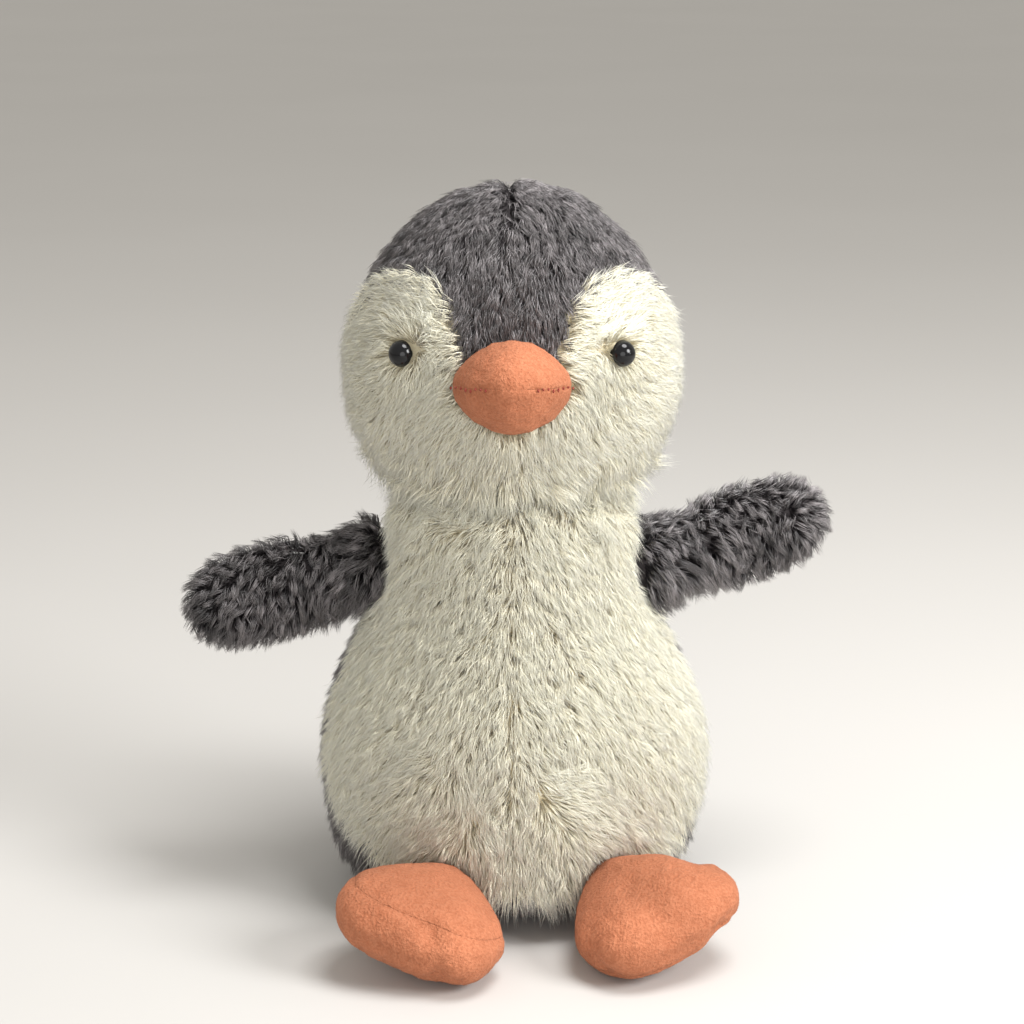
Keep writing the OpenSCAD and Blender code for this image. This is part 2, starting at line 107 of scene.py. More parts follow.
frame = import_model()
CAD_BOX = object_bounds()
NODES = frame["nodes"]
JOINTS = {joint["name"]: joint for joint in frame["joints"]}
MM = 0.001
DOWN = np.array([0.0, 0.0, -1.0])
SIDES = ("left", "right")
# The map that holds each strand's tint across and the way from its root to its tip upwards
STRAND_MAP = "OFBake"
# How far apart a face's corners are in that map, so that no face is a point there
MAP_SPREAD = 0.004


# ---- Fixed measures ----

FUR_VOXEL = 4 * MM
WING_VOXEL = 2.5 * MM
FOOT_VOXEL = 2 * MM
BEAK_VOXEL = 1.8 * MM
# How many voxels from a seam the stuffing has its full effect, and up to how many the seam holds
SEAM_REACH = 2.6
SEAM_HOLD = 0.5
# The cloth's weight at a point, its stiffnesses, its dampings and how many frames it moves for
CLOTH_MASS = 0.01
CLOTH_STIFFNESS = {"tension": 1.0, "compression": 1.0, "shear": 0.3}
CLOTH_DAMPING = 0.1
AIR_DAMPING = 0.2
CLOTH_FRAMES = 20
# How far a filling stays inside its cover, and how far off the floor the lowest cloth and fur are
FILLING_GAP = 1.2 * MM
CLOTH_CLEARANCE = 0.2 * MM
FUR_CLEARANCE = 0.35 * MM
# A piece of fur with more faces than this is made in parts
MOST_FACES = 190_000
# How deep a strand's root goes into its backing, and how thin its tip gets
ROOT_DEPTH = 0.3 * MM
TIP_SHARE = 0.55
# Up to this height, what faces down is the base
BASE_RIM = 4.5 * MM
# How much of an eye's radius has no fur under it
BARE_SHARE = 0.80
# The bare hollows round the joints, where the next body sits
NECK_HOLLOW = 40.2 * MM
WING_HOLLOW = 14.2 * MM
ANKLE_HOLLOW = 12.5 * MM
# Creases in millimetres: where each starts and ends, how wide it is and how deep
CROWN_FOLD = ((-1, -22, 226), (-1, 6, 229), 4, 1.2)
FOOT_CREASES = {
    "left": (((-24, -91, 22), (-20, -88, 6), 4, 2.4), ((-48, -66, 20), (-50, -72, 8), 4, 1.2)),
    "right": (
        ((54, -50, 30), (62, -72, 14), 5, 3.4), ((34, -70, 28), (43, -80, 20), 6, 1.5),
        ((25, -80, 12), (30, -84, 4), 3, 1.4), ((47, -70, 28), (50, -78, 20), 5, -0.8)),
}
# How deep a suede cover is drawn in and how far it swells again; how wide and deep its seam is
FOOT_STUFFING = (0.6 * MM, 1.3 * MM)
FOOT_SEAM = (1.1 * MM, 0.55 * MM)
BEAK_STUFFING = (-0.4 * MM, 1.1 * MM)
BEAK_SEAM = (0.8 * MM, 0.18 * MM)
# How far the seam of each foot tips up at the toes
FOOT_PITCH = {"left": math.radians(13), "right": math.radians(-12)}
# The stitches at each end of the beak's seam
STITCHES = 8
STITCH_START = 7.5 * MM
STITCH_STEP = 1.45 * MM
THREAD_RED = (0.30, 0.035, 0.018)
THREAD_GREY = (0.06, 0.05, 0.05)
# Whorls in millimetres: across, up and how wide, on the front of the belly
TUMMY_WHORLS = ((-15, 33, 22), (14, 42, 17), (-28, 52, 15), (24, 24, 15))
WHORL_Y = -52
# The seed of each kind of fur, from which those of its pieces count up
SEEDS = {"tummy": 11, "cheek": 21, "back": 31, "cap": 41, "wing": 51, "base": 61, "nap": 71}
# Each light's name, place, size and share of the main light's power
LIGHTS = (
    ("key", (0.80, -0.48, 0.60), 0.45, 1.0), ("front", (0.10, -1.1, 0.25), 0.8, 0.38),
    ("top", (0.25, -0.15, 1.0), 0.5, 0.8))
ROOM_COLOUR = (1.0, 0.97, 0.91, 1)
FLOOR_HALF = 40.0
BODY_PANELS = ("tummy_left", "tummy_right", "back_left", "back_right")
HEAD_PANELS = ("cheek_left", "cheek_right", "cap_left", "cap_right")


# ---- Places, worked out from the frame ----

def middle(node):
    """The middle of a CAD node's box."""
    low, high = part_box(node)
    return np.array((low + high) / 2)


def pivot(joint):
    return np.array(JOINTS[joint]["pos_m"])


def unit(vectors):
    """Vectors scaled to a length of one."""
    lengths = np.linalg.norm(vectors, axis=-1, keepdims=True)
    return vectors / np.maximum(lengths, 1e-12)


HEAD_PIVOT = pivot("head_nod")
EYES = {side: middle(f"eye_{side}") for side in SIDES}
BEAK_LOW = np.array(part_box("beak_lower")[0])
BEAK_HIGH = np.array(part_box("beak_upper")[1])
BEAK_MIDDLE = (BEAK_LOW + BEAK_HIGH) / 2
CROWN_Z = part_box("cap_left")[1].z
EYE_R = (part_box("eye_right")[1].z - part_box("eye_right")[0].z) / 2
WING_PIVOTS = {side: pivot(f"wing_{side}_flap") for side in SIDES}
WING_WAYS = {
    side: unit(middle(f"wing_{side}_stuffing") - WING_PIVOTS[side]) for side in SIDES
}
ANKLES = {side: pivot(f"foot_{side}_swing") for side in SIDES}


# ---- Settings ----

class PenguinCovers(bpy.types.PropertyGroup):
    """The stuffed covers under the fur, and the suede ones"""

    depth: FloatProperty(
        name="Backing depth", description="Depth of a seam under the surface of the pile",
        default=2.7 * MM, min=0.0, unit="LENGTH")
    swell: FloatProperty(
        name="Swell", description="How far the stuffing pushes a fur cover out between its seams",
        default=1.3 * MM, min=0.0, unit="LENGTH")
    thickness: FloatProperty(
        name="Fabric thickness", description="Thickness of the covers' fabric",
        default=0.7 * MM, min=0.0, unit="LENGTH")
    pressure: FloatProperty(
        name="Pressure", description="Pressure of the stuffing on the cloth", default=5.0)
    suede: FloatVectorProperty(
        name="Suede", description="Colour of the suede", size=3, subtype="COLOR",
        default=(0.49, 0.186, 0.097))
    suede_shade: FloatVectorProperty(
        name="Suede shade", description="Colour deep in the suede's nap and folds", size=3,
        subtype="COLOR", default=(0.29, 0.082, 0.033))
    nap: FloatProperty(
        name="Nap", description="Length of the suede's nap", default=0.75 * MM, unit="LENGTH")


class PenguinFur(bpy.types.PropertyGroup):
    """The pile"""

    cream_length: FloatProperty(
        name="Cream pile", description="Length of the cream strands", default=10.0 * MM,
        unit="LENGTH")
    grey_length: FloatProperty(
        name="Grey pile", description="Length of the grey strands", default=7.5 * MM,
        unit="LENGTH")
    cap_length: FloatProperty(
        name="Cap pile", description="Length of the strands on the cap", default=8.5 * MM,
        unit="LENGTH")
    strand: FloatProperty(
        name="Strand", description="Thickness of a strand near its root", default=0.34 * MM,
        unit="LENGTH")
    density: FloatProperty(
        name="Density", description="Strands on a square millimetre", default=3.8)
    cream: FloatVectorProperty(
        name="Cream", description="Colour of the cream tips", size=3, subtype="COLOR",
        default=(0.955, 0.945, 0.81))
    # The cream roots are painted darker and warmer than the tips: a painted shade deep in the pile
    cream_root: FloatVectorProperty(
        name="Cream roots", description="Colour deep in the cream pile", size=3,
        subtype="COLOR", default=(0.93, 0.83, 0.58))
    grey: FloatVectorProperty(
        name="Grey", description="Colour of the grey tips", size=3, subtype="COLOR",
        default=(0.140, 0.129, 0.131))
    # The grey roots are painted far darker than the tips: a painted shade deep in the pile
    grey_root: FloatVectorProperty(
        name="Grey roots", description="Colour deep in the grey pile", size=3,
        subtype="COLOR", default=(0.035, 0.029, 0.031))


class PenguinStage(bpy.types.PropertyGroup):
    """The camera and the light"""

    distance: FloatProperty(
        name="Distance", description="Distance from the camera to the penguin",
        default=0.8, unit="LENGTH")
    elevation: FloatProperty(
        name="Elevation", description="Height of the camera's view above level",
        default=math.radians(15), subtype="ANGLE")
    lens: FloatProperty(name="Lens", description="Focal length", default=89.8)
    aim: FloatProperty(
        name="Aim", description="Height that the camera looks at", default=0.123, unit="LENGTH")
    key: FloatProperty(name="Key light", description="Power of the main light", default=9.9)
    fill: FloatProperty(name="Fill light", description="Strength of the room's light", default=0.67)


class PenguinSettings(bpy.types.PropertyGroup):
    """All of the penguin's settings"""

    covers: PointerProperty(type=PenguinCovers)
    fur: PointerProperty(type=PenguinFur)
    stage: PointerProperty(type=PenguinStage)


# ---- Materials ----

class Signal:
    """A shader node's output, on which Python's operators add Math nodes."""

    def __init__(self, recipe, socket):
        self.recipe = recipe
        self.socket = socket

    def math(self, operation, *terms):
        return self.recipe.node("ShaderNodeMath", {"operation": operation}, dict(enumerate(terms)))

    def __add__(self, other):
        return self.math("ADD", self, other)

    def __radd__(self, other):
        return self.math("ADD", other, self)

    def __sub__(self, other):
        return self.math("SUBTRACT", self, other)

    def __rsub__(self, other):
        return self.math("SUBTRACT", other, self)

    def __mul__(self, other):
        return self.math("MULTIPLY", self, other)

    def __rmul__(self, other):
        return self.math("MULTIPLY", other, self)

    def over(self, low, high):
        """0 below low, 1 above high and smooth between them."""
        inputs = {"Value": self, "From Min": low, "From Max": high}
        return self.recipe.node("ShaderNodeMapRange", {"interpolation_type": "SMOOTHSTEP"}, inputs)


class Recipe:
    """A material, put together from nodes."""

    def __init__(self, name):
        self.material = bpy.data.materials.new(name)
        self.material.use_nodes = True
        self.tree = self.material.node_tree
        self.tree.nodes.clear()

    def node(self, kind, settings=None, inputs=None, output=0):
        """Adds a node. Its settings come first, then the values or links of its sockets."""
        made = self.tree.nodes.new(kind)
        for name, value in (settings or {}).items():
            if name == "stops":
                self._set_stops(made.color_ramp.elements, value)
            else:
                setattr(made, name, value)
        for name, value in (inputs or {}).items():
            if isinstance(value, Signal):
                self.tree.links.new(value.socket, made.inputs[name])
            else:
                made.inputs[name].default_value = value
        return Signal(self, made.outputs[output]) if len(made.outputs) else None

    @staticmethod
    def _set_stops(elements, stops):
        while len(elements) < len(stops):
            elements.new(0.5)
        for element, (place, colour) in zip(elements, stops):
            element.position = place
            element.color = opaque(colour)

    def mix(self, factor, first, second):
        """A colour between two."""
        colours = [c if isinstance(c, Signal) else opaque(c) for c in (first, second)]
        return self.node(
            "ShaderNodeMix", {"data_type": "RGBA"}, {0: factor, 6: colours[0], 7: colours[1]}, 2)

    def place(self, stretch=(1, 1, 1)):
        """The object's own coordinates, stretched."""
        own = self.node("ShaderNodeTexCoord", output="Object")
        return self.node(
            "ShaderNodeVectorMath", {"operation": "MULTIPLY"}, {0: own, 1: stretch})

    def noise(self, scale, detail=2.0, stretch=(1, 1, 1)):
        inputs = {"Vector": self.place(stretch), "Scale": scale, "Detail": detail}
        return self.node("ShaderNodeTexNoise", {}, inputs)

    def bump(self, height, distance, strength=1.0):
        inputs = {"Height": height, "Distance": distance, "Strength": strength}
        return self.node("ShaderNodeBump", {}, inputs)

    def done(self, **sockets):
        """Ends in one Principled shader with these sockets, and gives the material."""
        named = {name.replace("_", " "): value for name, value in sockets.items()}
        shader = self.node("ShaderNodeBsdfPrincipled", {}, named)
        self.node("ShaderNodeOutputMaterial", {}, {"Surface": shader})
        return self.material


def opaque(colour):
    return (*tuple(colour)[:3], 1.0)


def shaded(colour, share):
    """A colour made lighter or darker."""
    return tuple(min(channel * share, 1.0) for channel in tuple(colour)[:3])


def fur_material(name, root, tip, dull, painted_glint, sheen, gloss):
    """Strands from a deep root colour to a pale tip, each with a tint from dull to glint."""
    recipe = Recipe(name)
    strand = recipe.node("ShaderNodeUVMap", {"uv_map": STRAND_MAP})
    tint = recipe.node("ShaderNodeSeparateXYZ", {}, {"Vector": strand}, "X")
    along = recipe.node("ShaderNodeSeparateXYZ", {}, {"Vector": strand}, "Y")
    # Roots to tips: the roots' darker, warmer colour is a painted shade deep in the pile
    rise = along.over(0.05, 0.85)
    dark = recipe.mix(rise, shaded(root, dull), shaded(tip, dull))
    # The glint share brightens the tips of the paler strands: a painted highlight, over a tone that
    # differs at random from strand to strand
    light = recipe.mix(rise, root, shaded(tip, painted_glint))
    return recipe.done(
        Base_Color=recipe.mix(tint, dark, light), Roughness=0.36, Specular_IOR_Level=gloss,
        Sheen_Weight=sheen, Sheen_Roughness=0.5)


def backing_material(name, root):
    """Knitted backing, of the pile's own colour."""
    recipe = Recipe(name)
    loops = recipe.noise(1800, 1.0)
    patches = recipe.noise(90, 2.0)
    # The backing takes the roots' colour, and with it their painted shade; its patches differ at
    # random
    colour = recipe.mix(patches.over(0.35, 0.65), shaded(root, 0.8), root)
    return recipe.done(
        Base_Color=colour, Roughness=0.95, Normal=recipe.bump(loops, 0.3 * MM))


def suede_material(name, covers):
    """Brushed suede: fine mottled nap over soft, slightly uneven colour."""
    recipe = Recipe(name)
    grain = recipe.noise(1250, 3.0)
    brushed = recipe.noise(420, 2.0, (1, 1, 0.45))
    patches = recipe.noise(45, 2.0)
    nap = grain.over(0.36, 0.64) * 0.7 + brushed.over(0.35, 0.65) * 0.3
    plain = recipe.mix(
        patches.over(0.3, 0.7), shaded(covers.suede, 0.86), shaded(covers.suede, 1.12))
    colour = recipe.mix(nap, recipe.mix(0.52, plain, covers.suede_shade), plain)
    return recipe.done(
        Base_Color=colour, Roughness=0.86 + grain * 0.1, Specular_IOR_Level=0.2,
        Sheen_Weight=0.10, Sheen_Roughness=0.4, Sheen_Tint=(1.0, 0.65, 0.45, 1.0),
        Normal=recipe.bump(grain * 0.75 + brushed * 0.25, 1.0 * MM))


def nap_material(name, covers):
    """The suede's own short fibres."""
    recipe = Recipe(name)
    strand = recipe.node("ShaderNodeUVMap", {"uv_map": STRAND_MAP})
    tint = recipe.node("ShaderNodeSeparateXYZ", {}, {"Vector": strand}, "X")
    colour = recipe.mix(tint, shaded(covers.suede, 0.65), shaded(covers.suede, 1.35))
    return recipe.done(Base_Color=colour, Roughness=0.8, Specular_IOR_Level=0.2)


def stuffing_material(name):
    """Polyester filling: white, matt and matted."""
    recipe = Recipe(name)
    fibres = recipe.noise(700, 5.0, (1, 1, 2.2))
    colour = recipe.mix(fibres, (0.72, 0.72, 0.70), (0.90, 0.90, 0.89))
    return recipe.done(Base_Color=colour, Roughness=0.95, Normal=recipe.bump(fibres, 0.8 * MM))


def cotton_material():
    """Plain-woven cotton."""
    recipe = Recipe("cotton weave")
    across, along = (
        recipe.node("ShaderNodeTexWave", {"bands_direction": way}, {
            "Vector": recipe.place(), "Scale": 500.0, "Distortion": 0.4})
        for way in "XY")
    weave = across * along
    colour = recipe.mix(weave, (0.55, 0.50, 0.42), (0.78, 0.74, 0.66))
    return recipe.done(Base_Color=colour, Roughness=0.9, Normal=recipe.bump(weave, 0.2 * MM))


def bean_material():
    """A mass of small plastic pellets."""
    recipe = Recipe("plastic pellets")
    cells = recipe.node("ShaderNodeTexVoronoi", {}, {"Vector": recipe.place(), "Scale": 350.0})
    # Each pellet is painted lighter in its middle and darker towards its edge: a painted shade
    # between the pellets
    colour = recipe.mix(cells, (0.80, 0.78, 0.72), (0.52, 0.50, 0.44))
    return recipe.done(
        Base_Color=colour, Roughness=0.45, Normal=recipe.bump(1 - cells, 1.0 * MM))


def eye_material():
    """Moulded black plastic with a deep gloss and a few hairline marks."""
    recipe = Recipe("eye plastic")
    marks = recipe.noise(900, 3.0, (1, 0.2, 1))
    return recipe.done(
        Base_Color=(0.004, 0.004, 0.005, 1), Roughness=0.10 + marks.over(0.55, 0.8) * 0.08,
        Specular_IOR_Level=0.35)


def washer_material():
    """Pale moulded plastic."""
    recipe = Recipe("washer plastic")
    clouds = recipe.noise(200, 2.0)
    colour = recipe.mix(clouds, (0.74, 0.74, 0.72), (0.84, 0.84, 0.82))
    return recipe.done(Base_Color=colour, Roughness=0.4 + clouds * 0.1)


def thread_material(name, colour):
    """Twisted sewing thread."""
    recipe = Recipe(name)
    twist = recipe.node("ShaderNodeTexWave", {"bands_direction": "DIAGONAL"}, {
        "Vector": recipe.place(), "Scale": 900.0})
    tinted = recipe.mix(twist, shaded(colour, 0.6), colour)
    return recipe.done(Base_Color=tinted, Roughness=0.6, Normal=recipe.bump(twist, 0.08 * MM))


def floor_material():
    """A plain pale sheet."""
    recipe = Recipe("pale floor")
    clouds = recipe.noise(3, 2.0)
    colour = recipe.mix(clouds, (0.54, 0.525, 0.505), (0.57, 0.555, 0.535))
    return recipe.done(Base_Color=colour, Roughness=0.9)


# ---- Covers: closed surfaces that are blown up as stuffed cloth ----

def added(name, mesh):
    """A new object in the scene for a mesh."""
    obj = bpy.data.objects.new(name, mesh)
    bpy.context.scene.collection.objects.link(obj)
    return obj


def points_of(mesh):
    flat = np.empty(len(mesh.vertices) * 3)
    mesh.vertices.foreach_get("co", flat)
    return flat.reshape(-1, 3)


def normals_of(mesh):
    flat = np.empty(len(mesh.vertices) * 3)
    mesh.vertex_normals.foreach_get("vector", flat)
    return flat.reshape(-1, 3)


def set_points(mesh, points):
    mesh.vertices.foreach_set("co", np.ascontiguousarray(points).ravel())
    mesh.update()


def draw_in(mesh, depths):
    """Moves a surface's points in along its normals."""
    set_points(mesh, points_of(mesh) - normals_of(mesh) * depths)


def settle(obj):
    """Turns an object's modifiers into its mesh."""
    evaluated = obj.evaluated_get(bpy.context.evaluated_depsgraph_get())
    mesh = bpy.data.meshes.new_from_object(evaluated)
    old = obj.data
    obj.modifiers.clear()
    obj.data = mesh
    bpy.data.meshes.remove(old)


def keep_outside(mesh):
    """Leaves only the surface that goes round all the others."""
    bm = bmesh.new()
    bm.from_mesh(mesh)
    left = set(bm.verts)
    shells = []
    while left:
        stack = [left.pop()]
        shell = set(stack)
        while stack:
            for edge in stack.pop().link_edges:
                for vert in edge.verts:
                    if vert in left:
                        left.remove(vert)
                        shell.add(vert)
                        stack.append(vert)
        shells.append(shell)
    shells.sort(key=lambda s: max(v.co.x for v in s) - min(v.co.x for v in s))
    inner = [vert for shell in shells[:-1] for vert in shell]
    bmesh.ops.delete(bm, geom=inner, context="VERTS")
    bm.to_mesh(mesh)
    bm.free()


def mesh_from(name, bm):
    """A mesh with the surface of a bmesh, which ends there."""
    mesh = bpy.data.meshes.new(name)
    bm.to_mesh(mesh)
    bm.free()
    return mesh


def moulded(name, nodes, voxel):
    """One even closed surface round several CAD nodes."""
    bm = bmesh.new()
    for node in nodes:
        bm.from_mesh(NODES[node].data)
    obj = added(name, mesh_from(name, bm))
    remesh = obj.modifiers.new("Remesh", "REMESH")
    remesh.mode = "VOXEL"
    remesh.voxel_size = voxel
    settle(obj)
    keep_outside(obj.data)
    return obj


class Panels:
    """The CAD panels of one cover, to tell which is nearest to a point."""

    def __init__(self, nodes):
        self.trees = [self._tree(NODES[node].data) for node in nodes]

    @staticmethod
    def _tree(mesh):
        faces = [tuple(face.vertices) for face in mesh.polygons]
        return BVHTree.FromPolygons([v.co for v in mesh.vertices], faces)

    def distances(self, points):
        """The distance from each point to each panel."""
        return np.array([[tree.find_nearest(p)[3] for tree in self.trees] for p in points])

    def seams(self, points):
        """The distance from each point to the nearest panel but one, which is 0 at a seam."""
        return np.sort(self.distances(points), axis=1)[:, 1]

    def regions(self, cover, reach=2 * MM):
        """The number of the nearest panel to each face."""
        return self.distances(face_places(cover.data, reach)).argmin(axis=1)


class FlatSeam:
    """The plane that parts an upper panel from a lower one, turned a little about a point."""

    def __init__(self, cover, nodes, place=(0, 0, 0), axis=(1, 0, 0), pitch=0.0):
        points = points_of(cover.data)
        edge = points[Panels(nodes).seams(points) < 1.2 * MM]
        across = np.linalg.svd(edge - edge.mean(axis=0), full_matrices=False)[2][2]
        across = across * np.sign(across[2])
        self.middle = place + across * ((edge.mean(axis=0) - place) @ across)
        self.across = np.array(Matrix.Rotation(pitch, 3, Vector(axis)) @ Vector(across))

    def seams(self, points):
        return np.abs((points - self.middle) @ self.across)


def stuff(obj, seams, voxel, depth, swell, pressure):
    """Draws a cover in by a depth and lets stuffing push it out again between its seams.

    seams gives each point's distance from the nearest seam."""
    mesh = obj.data
    outside = points_of(mesh)
    apart = seams(outside)
    start = outside - normals_of(mesh) * depth
    set_points(mesh, start)
    limits = swell * smooth_step(apart / (SEAM_REACH * voxel))[:, None]
    pinned = obj.vertex_groups.new(name="seams")
    for index in np.flatnonzero(apart < SEAM_HOLD * voxel):
        pinned.add([int(index)], 1.0, "REPLACE")
    blow_up(obj, start, limits, pressure)
    subdivision = obj.modifiers.new("Subdivision", "SUBSURF")
    subdivision.levels = 1
    settle(obj)


def smooth_step(values):
    """0 below 0, 1 above 1 and smooth between them."""
    values = np.clip(values, 0, 1)
    return values * values * (3 - 2 * values)


def blow_up(obj, start, limits, pressure):
    """Runs cloth with pressure inside, and lets no point move further than its limit."""
    cloth = obj.modifiers.new("Cloth", "CLOTH")
    settings = cloth.settings
    settings.use_pressure = True
    settings.uniform_pressure_force = pressure
    settings.effector_weights.gravity = 0.0
    settings.vertex_group_mass = "seams"
    settings.mass = CLOTH_MASS
    settings.quality = 5
    settings.air_damping = AIR_DAMPING
    for name, stiffness in CLOTH_STIFFNESS.items():
        setattr(settings, f"{name}_stiffness", stiffness)
        setattr(settings, f"{name}_damping", CLOTH_DAMPING)
    settings.bending_stiffness = 0.02
    cloth.point_cache.frame_start = 1
    cloth.point_cache.frame_end = CLOTH_FRAMES
    for number in range(1, CLOTH_FRAMES + 1):
        bpy.context.scene.frame_set(number)
    evaluated = obj.evaluated_get(bpy.context.evaluated_depsgraph_get())
    moved = points_of(evaluated.data) - start
    far = np.linalg.norm(moved, axis=1, keepdims=True)
    obj.modifiers.remove(cloth)
    set_points(obj.data, start + moved * np.minimum(1, limits / np.maximum(far, 1e-9)))
    bpy.context.scene.frame_set(1)


def press(obj, start, end, reach, depth):
    """Presses a crease into a cover, along the line between two points."""
    points = points_of(obj.data)
    start, end = np.array(start) * MM, np.array(end) * MM
    line = end - start
    share = np.clip((points - start) @ line / (line @ line), 0, 1)
    away = np.linalg.norm(points - start - share[:, None] * line, axis=1)
    dent = depth * MM * np.exp(-((away / (reach * MM)) ** 2))
    draw_in(obj.data, dent[:, None])


def tighten(obj, seams, reach, depth):
    """Pulls the cover in along its seams."""
    pull = depth * np.exp(-((seams(points_of(obj.data)) / reach) ** 2))
    draw_in(obj.data, pull[:, None])


def rest_on_floor(obj):
    """Flattens what would reach below the floor."""
    points = points_of(obj.data)
    points[:, 2] = np.maximum(points[:, 2], CLOTH_CLEARANCE)
    set_points(obj.data, points)


def stand_for(obj, node, body, slot):
    """Puts a padded piece in a CAD node's place."""
    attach(obj, body)
    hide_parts(node)
    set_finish(obj, slot)


def filling(name, cover, body, node):
    """A mass of filling that fits closely inside a cover."""
    mesh = cover.data.copy()
    obj = added(name, mesh)
    draw_in(mesh, FILLING_GAP)
    mesh.materials.clear()
    mesh.materials.append(material("polyester filling", stuffing_material))
    mesh.shade_smooth()
    stand_for(obj, node, body, "stuffing")


def pieces_of(cover, names, cut):
    """Copies a cover under each name, and has each copy cut by its number."""
    for number, name in enumerate(names):
        bm = bmesh.new()
        bm.from_mesh(cover.data)
        cut(bm, number)
        yield added(name, mesh_from(name, bm))
    bpy.data.objects.remove(cover)


def face_places(mesh, reach):
    """The middle of each face, moved out along its normal."""
    return np.array([face.center + face.normal * reach for face in mesh.polygons])


def finished_cover(obj, node, body, look, slot, thickness):
    """Gives a cut cover its fabric thickness, and puts it in its CAD node's place."""
    obj.data.materials.clear()
    obj.data.materials.append(look)
    obj.data.shade_smooth()
    fabric = obj.modifiers.new("Fabric", "SOLIDIFY")
    fabric.thickness = thickness
    fabric.offset = -1.0
    stand_for(obj, node, body, slot)


def material(name, maker, *details):
    """A material made once and shared."""
    return bpy.data.materials.get(name) or maker(name, *details)


def covers_of(nodes):
    return [f"{node}_cover" for node in nodes]


def fur_covers(cover, regions, nodes, body, settings):
    """Cuts a fur cover into its panels: cream for the tummy and the cheeks, grey for the rest."""
    def keep_region(bm, number):
        others = [face for face in bm.faces if regions[face.index] != number]
        bmesh.ops.delete(bm, geom=others, context="FACES")

    for obj, node in zip(list(pieces_of(cover, covers_of(nodes), keep_region)), nodes):
        colour = "cream" if node.startswith(("tummy", "cheek")) else "grey"
        root = getattr(settings.fur, f"{colour}_root")
        look = material(f"{colour} backing", backing_material, root)
        thickness = settings.covers.thickness
        finished_cover(obj, node, body, look, f"{colour}_fur", thickness)


def suede_covers(cover, seam, nodes, body, covers):
    """Cuts a suede cover along its flat seam into an upper and a lower piece."""
    def keep_half(bm, number):
        bmesh.ops.bisect_plane(
            bm, geom=[*bm.verts, *bm.edges, *bm.faces], plane_co=seam.middle, plane_no=seam.across,
            clear_inner=number == 0, clear_outer=number == 1)

    look = material("brushed suede", suede_material, covers)
    for obj, node in zip(list(pieces_of(cover, covers_of(nodes), keep_half)), nodes):
        finished_cover(obj, node, body, look, "suede", covers.thickness)


# ---- Fur: closed strands, combed and gathered into locks ----

def scattered(mesh, density, rng):
    """Random places on a surface, evenly spread, with their normals."""
    mesh.calc_loop_triangles()
    corners = np.empty(len(mesh.loop_triangles) * 3, np.int32)
    mesh.loop_triangles.foreach_get("vertices", corners)
    corners = corners.reshape(-1, 3)
    points = points_of(mesh)[corners]
    normals = normals_of(mesh)[corners]
    areas = np.linalg.norm(
        np.cross(points[:, 1] - points[:, 0], points[:, 2] - points[:, 0]), axis=1) / 2
    count = int(areas.sum() / MM**2 * density)
    picked = rng.choice(len(corners), count, p=areas / areas.sum())
    weights = np.sort(rng.random((count, 2)), axis=1)
    weights = np.column_stack([weights[:, 0], weights[:, 1] - weights[:, 0], 1 - weights[:, 1]])
    return (
        np.einsum("ij,ijk->ik", weights, points[picked]),
        unit(np.einsum("ij,ijk->ik", weights, normals[picked])),
    )


def along_surface(ways, normals):
    """Directions laid flat on the surface."""
    return unit(ways - normals * np.sum(ways * normals, axis=1, keepdims=True))


def ripple(points, size, seed):
    """A smooth random vector field, with waves of about this size."""
    rng = np.random.default_rng(seed)
    total = np.zeros_like(points)
    for _ in range(6):
        wave = unit(rng.normal(size=3)) * 2 * math.pi / (size * rng.uniform(0.7, 1.5))
        total += np.sin(points @ wave + rng.uniform(0, 6.28))[:, None] * rng.normal(size=3)
    return total / 2.5


def lock_owner(roots, spacing, rng):
    """For each strand, the strand at the heart of its lock."""
    count = max(int(len(roots) / spacing), 1)
    hearts = rng.choice(len(roots), count, replace=False)
    tree = KDTree(count)
    for number, heart in enumerate(hearts):
        tree.insert(roots[heart], number)
    tree.balance()
    return hearts[[tree.find(root)[1] for root in roots]]


class Pile(NamedTuple):
    """How one kind of fur grows."""

    length: float
    width: float
    # Degrees above the backing at the root and at the tip
    rise: float = 62
    lie: float = 12
    # Strands in a lock, how closely they come together at its tip and how far each strays
    lock: float = 20
    gather: float = 0.55
    stray: float = 0.16
    bends: int = 1
    # How much the locks turn, hang and tilt
    unruly: float = 0.5
    sag: float = 0.25
    tilt: float = 0.22
    # The middle tint, and how much it changes from lock to lock
    tint: float = 0.45
    streaks: float = 0.2


def strand_paths(roots, normals, ways, lengths, pile, rng):
    """The points along each strand, from its root to its tip."""
    owner = lock_owner(roots, pile.lock, rng)
    count = len(roots)
    tilt = rng.normal(0, pile.tilt, count)
    lock_tilt = rng.normal(0, pile.tilt, count)[owner]
    lock_turn = rng.normal(0, pile.unruly, count)[owner]
    turn = lock_turn + rng.normal(0, pile.stray * 1.6, count)
    across = np.cross(normals, ways)
    ways = ways * np.cos(turn)[:, None] + across * np.sin(turn)[:, None]
    steps = pile.bends + 1
    path = [roots - normals * ROOT_DEPTH]
    for step in range(steps):
        share = step / max(steps - 1, 1)
        angle = np.radians(pile.rise + (pile.lie - pile.rise) * share) * (1 + tilt + lock_tilt)
        angle = np.clip(angle, 0.03, 1.5)
        way = normals * np.sin(angle)[:, None] + ways * np.cos(angle)[:, None]
        way = unit(way + DOWN * pile.sag * share + rng.normal(0, pile.stray, (count, 3)) * share)
        path.append(path[-1] + way * lengths[:, None] / steps)
    path = np.array(path)
    heart = path[:, owner]
    for step in range(1, steps + 1):
        pull = pile.gather * (step / steps) ** 1.2
        path[step] += (heart[step] - path[step]) * pull
    return path, owner


